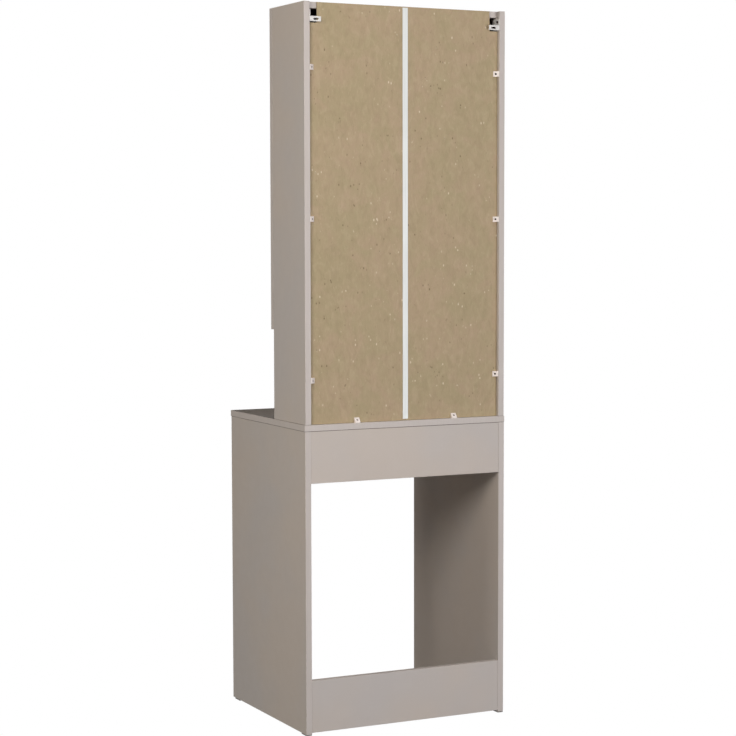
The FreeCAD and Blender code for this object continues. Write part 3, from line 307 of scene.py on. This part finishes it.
def plated_metal(name, bright, dull, roughness, brushed=(1.0, 1.0, 1.0), metallic=1.0):
    """Plated or blackened metal with drawn streaks, small pits and dulled patches."""
    tree = Tree(name)
    streaks = tree.noise(700.0, 4.0, 0.65, tree.stretched(brushed))
    patches = tree.noise(70.0, 4.0, 0.65, distortion=0.6)
    colour = tree.mix(tree.range(patches, 0.38, 0.68), bright, dull)
    colour = tree.mix(tree.range(streaks, 0.35, 0.75, 0.0, 0.3), colour, dull)
    normal = tree.bump(streaks, 0.16, 0.03 * MM)
    normal = tree.bump(tree.range(tree.cells(1100.0), 0.0, 0.35), 0.12, 0.03 * MM, normal)
    rough = tree.range(patches, 0.3, 0.75, roughness - 0.06, roughness + 0.12)
    return tree.finish(colour, rough, normal, metallic)


def silvered_glass(name):
    """A float-glass mirror: bright silvered faces, faint wiping haze, ground green edges."""
    tree = Tree(name)
    facing = tree.split(tree.facing)
    face = tree.range(tree.math("ABSOLUTE", facing[1]), 0.9, 0.97)
    ground = tree.noise(1800.0, 3.0, 0.6)
    edge_colour = tree.mix(ground, GLASS_EDGE_DEEP, GLASS_EDGE_PALE)
    colour = tree.mix(face, edge_colour, SILVER)
    wipe = tree.noise(7.0, 6.0, 0.7, tree.stretched((1.0, 1.0, 0.35), (0.0, 0.5, 0.0)), 1.2)
    haze = tree.range(wipe, 0.52, 0.8, 0.006, 0.045)
    roughness = tree.blend(face, haze, GROUND_EDGE_ROUGHNESS)
    normal = tree.bump(ground, 0.03, 0.01 * MM)
    metallic = tree.range(face, 0.0, 1.0, 0.0, 1.0)
    return tree.finish(colour, roughness, normal, metallic)


def beech(name):
    """Fluted beech dowels with short brown pores."""
    tree = Tree(name)
    grain = tree.noise(260.0, 5.0, 0.6, tree.stretched((0.3, 1.0, 1.0)))
    colour = tree.mix(tree.range(grain, 0.35, 0.7), BEECH_PALE, BEECH_BROWN)
    pores = tree.cells(900.0, vector=tree.stretched((0.2, 1.0, 1.0)))
    colour = tree.mix(tree.range(pores, 0.12, 0.02, 0.0, 0.5), colour, BEECH_PORE)
    normal = tree.bump(grain, 0.4, 0.1 * MM)
    return tree.finish(colour, tree.range(grain, 0.3, 0.7, 0.55, 0.7), normal, specular=0.3)


# the axis along which each melamine board is thin: 0 across, 1 deep, 2 up
THIN_AXIS = {
    "tabletop": 2, "cabinet_top": 2,
    "fixed_shelf": 2, "lower_loose_shelf": 2, "upper_loose_shelf": 2,
    "lower_left_side": 0, "lower_right_side": 0, "cabinet_left_side": 0, "cabinet_right_side": 0,
    "drawer_left_side": 0, "drawer_right_side": 0,
    "upper_rear_rail": 1, "lower_rear_rail": 1,
    "door_board": 1, "drawer_front": 1, "drawer_back": 1,
}
SLOT_MATERIALS = {
    "white_plastic": moulded_plastic("white_plastic", WHITE_PLASTIC, srgb(214, 215, 212), 0.42,
                                     streak=(1.0, 1.0, 0.05)),
    "roller_plastic": moulded_plastic("roller_plastic", srgb(238, 237, 230), srgb(226, 224, 215), 0.36),
    "glide_plastic": moulded_plastic("glide_plastic", srgb(126, 121, 115), srgb(104, 100, 95), 0.5),
    "foam_tape": moulded_plastic("foam_tape", srgb(232, 231, 226), srgb(208, 206, 200), 0.8, 700.0),
    "clear_buffer": moulded_plastic("clear_buffer", srgb(214, 214, 208), srgb(196, 196, 190), 0.25),
    "white_steel": powder_coat("white_steel", WHITE_PAINT, srgb(198, 194, 189)),
    "runner_steel": powder_coat("runner_steel", srgb(232, 231, 227), srgb(214, 212, 207)),
    "dark_screw": plated_metal("dark_screw", srgb(64, 44, 39), srgb(38, 28, 25), 0.55, metallic=0.2),
    "zinc_steel": plated_metal("zinc_steel", srgb(206, 208, 210), srgb(168, 170, 172), 0.3),
    "nickel_steel": plated_metal("nickel_steel", srgb(212, 209, 203), srgb(178, 175, 170), 0.24,
                                 brushed=(1.0, 0.08, 1.0)),
    "zinc_casting": plated_metal("zinc_casting", srgb(176, 178, 180), srgb(140, 142, 145), 0.45),
    "beech": beech("beech"),
    "mirror_glass": silvered_glass("mirror_glass"),
}
CLIP_PLASTIC = moulded_plastic("clip_plastic", srgb(238, 226, 219), srgb(228, 215, 207), 0.46)
BACK_FIBREBOARD = fibreboard("fibreboard_back", 1, 1.0)
DRAWER_FIBREBOARD = fibreboard("fibreboard_drawer", 2, -1.0)


def material_of(node_name):
    """The finish of one CAD node."""
    slot = SLOT_OF_NODE[node_name]
    if node_name == "back_wedge_clips":
        return CLIP_PLASTIC
    if slot == "melamine_board":
        return melamine(node_name, THIN_AXIS[node_name])
    if slot == "fibreboard":
        return DRAWER_FIBREBOARD if node_name == "drawer_bottom" else BACK_FIBREBOARD
    return SLOT_MATERIALS[slot]


SOFTENED = {"white_plastic": 0.25 * MM, "white_steel": 0.2 * MM, "runner_steel": 0.2 * MM,
            "nickel_steel": 0.2 * MM, "glide_plastic": 0.3 * MM}


def soften(piece, width):
    """Break the sharp arrises of a small part, as moulding or pressing leaves them."""
    bevel = piece.modifiers.new("softened_edges", "BEVEL")
    bevel.width = width
    bevel.segments = 2
    bevel.limit_method = "ANGLE"
    bevel.angle_limit = math.radians(40.0)


for node_name, piece in NODES.items():
    piece.data.materials.clear()
    piece.data.materials.append(material_of(node_name))
    if SLOT_OF_NODE[node_name] in SOFTENED:
        soften(piece, SOFTENED[SLOT_OF_NODE[node_name]])


# ---- studio -----------------------------------------------------------------------------
STUDIO_RADIUS = 29.0
STUDIO_HEIGHT = 30.0
STUDIO_SIDES = 48
FLOOR_FADE = (2.0, STUDIO_RADIUS)
WALL_FADE = (STUDIO_RADIUS, 1.1 * STUDIO_RADIUS)
SEEN_FLOOR_LEVEL = -1.0 * MM
REFLECTED_FLOOR_LEVEL = -10.0 * MM
WORLD_GLOW = 0.03

OBJECT_MIDDLE = (0.0, 0.1, 0.95)
PLAIN_LIGHT = (1.0, 1.0, 1.0)
WARM_LIGHT = (1.0, 0.975, 0.92)
COOL_LIGHT = (0.985, 1.0, 1.05)

CAMERA_PLACE = (2.374, 4.893, 1.282)
CAMERA_HEADING = math.radians(152.62)
CAMERA_DIP = math.radians(4.50)
CAMERA_LENS = 100.77
CAMERA_SENSOR = 36.0
CAMERA_SHIFT = (-0.0694, 0.0256)
CAMERA_FAR_LIMIT = 60.0


def stage_mesh(name, corners, faces, material):
    """A piece of the studio, not of the object."""
    mesh = bpy.data.meshes.new(name)
    mesh.from_pydata(corners, [], faces)
    mesh.materials.append(material)
    piece = bpy.data.objects.new(name, mesh)
    bpy.context.scene.collection.objects.link(piece)
    return piece


def studio_surface(name, corners, faces, seen, glows, distances):
    """One matt surface whose glow goes from one level to another between two distances."""
    tree = Tree(name)
    length = tree.nodes.new("ShaderNodeVectorMath")
    length.operation = "LENGTH"
    tree.put(length.inputs[0], tree.place)
    glow = tree.range(length.outputs["Value"], *distances, *glows)
    tree.shader.inputs["Emission Color"].default_value = (1.0, 1.0, 1.0, 1.0)
    tree.put(tree.shader.inputs["Emission Strength"], glow)
    surface = stage_mesh(name, corners, faces, tree.finish((0.0, 0.0, 0.0, 1.0), 1.0, specular=0.0))
    surface.visible_camera = seen
    surface.visible_glossy = not seen
    surface.visible_diffuse = False
    surface.visible_shadow = False


def studio_shell(name, level, seen, floor_glow, wall_glow):
    """A pale floor and the wall and ceiling far around it; each glow is given near and far."""
    ring = []
    for step in range(STUDIO_SIDES):
        angle = 2.0 * math.pi * step / STUDIO_SIDES
        ring.append((STUDIO_RADIUS * math.cos(angle), STUDIO_RADIUS * math.sin(angle)))
    floor_corners = [(x, y, level) for x, y in ring]
    floor_faces = [tuple(range(STUDIO_SIDES))]
    studio_surface(name + "_floor", floor_corners, floor_faces, seen, floor_glow, FLOOR_FADE)

    room_corners = floor_corners + [(x, y, STUDIO_HEIGHT) for x, y in ring]
    room_faces = [tuple(range(STUDIO_SIDES, 2 * STUDIO_SIDES))]
    for step in range(STUDIO_SIDES):
        following = (step + 1) % STUDIO_SIDES
        room_faces.append((step, following, following + STUDIO_SIDES, step + STUDIO_SIDES))
    studio_surface(name + "_wall", room_corners, room_faces, seen, wall_glow, WALL_FADE)


def soft_light(name, place, size, power, tint=PLAIN_LIGHT, reflected=True):
    """A soft box, so wide and so high, aimed at the object's middle."""
    data = bpy.data.lights.new(name, "AREA")
    data.shape = "RECTANGLE"
    data.size, data.size_y = size
    data.energy = power
    data.color = tint
    light = bpy.data.objects.new(name, data)
    light.location = place
    aim = Vector(OBJECT_MIDDLE) - Vector(place)
    light.rotation_euler = aim.to_track_quat("-Z", "Y").to_euler()
    light.visible_glossy = reflected
    bpy.context.scene.collection.objects.link(light)


def studio_world():
    """A weak even light from all around."""
    world = bpy.data.worlds.new("studio_world")
    world.use_nodes = True
    background = world.node_tree.nodes["Background"]
    background.inputs["Color"].default_value = (1.0, 1.0, 1.0, 1.0)
    background.inputs["Strength"].default_value = WORLD_GLOW
    bpy.context.scene.world = world


def camera():
    """The view from behind the object's right-hand corner, a little above the middle."""
    data = bpy.data.cameras.new("camera")
    data.lens = CAMERA_LENS
    data.sensor_width = CAMERA_SENSOR
    data.shift_x, data.shift_y = CAMERA_SHIFT
    data.clip_end = CAMERA_FAR_LIMIT
    holder = bpy.data.objects.new("camera", data)
    holder.location = CAMERA_PLACE
    holder.rotation_euler = (math.pi / 2.0 - CAMERA_DIP, 0.0, CAMERA_HEADING)
    bpy.context.scene.collection.objects.link(holder)
    bpy.context.scene.camera = holder


# the plain pale floor and walls that are seen, a hair below the glides
studio_shell("studio", SEEN_FLOOR_LEVEL, True, (1.0, 1.0), (1.0, 1.0))
# the dimmer floor and room that the mirror and every glossy surface pick up
studio_shell("reflected_studio", REFLECTED_FLOOR_LEVEL, False, (0.62, 0.10), (0.10, 0.05))
studio_world()
soft_light("side_light", (6.3, 0.0, 0.5), (2.4, 2.4), 98.0, WARM_LIGHT)
soft_light("rear_right_light", (2.12, 2.12, 2.1), (1.3, 1.3), 51.0, WARM_LIGHT)
soft_light("rear_left_light", (-2.2, 5.9, 0.5), (2.4, 2.4), 182.0, COOL_LIGHT)
soft_light("rear_high_light", (-0.4, 3.0, 2.3), (1.3, 1.3), 10.0, COOL_LIGHT)
# steep enough for the cabinet's top, and from the rear, so the tabletop stays in shade
soft_light("top_light", (0.0, 1.75, 7.0), (0.8, 0.8), 85.0)
# the glow of the pale floor on everything that faces down
soft_light("floor_bounce", (0.0, 0.0, -5.0), (1.0, 1.0), 38.0)
# low, to reach the front; the mirror doesn't show it, as it would be a hard white box
soft_light("front_left_light", (-3.2, -5.0, 0.4), (3.2, 0.7), 215.0, reflected=False)
camera()
bpy.context.scene.view_settings.view_transform = "Standard"
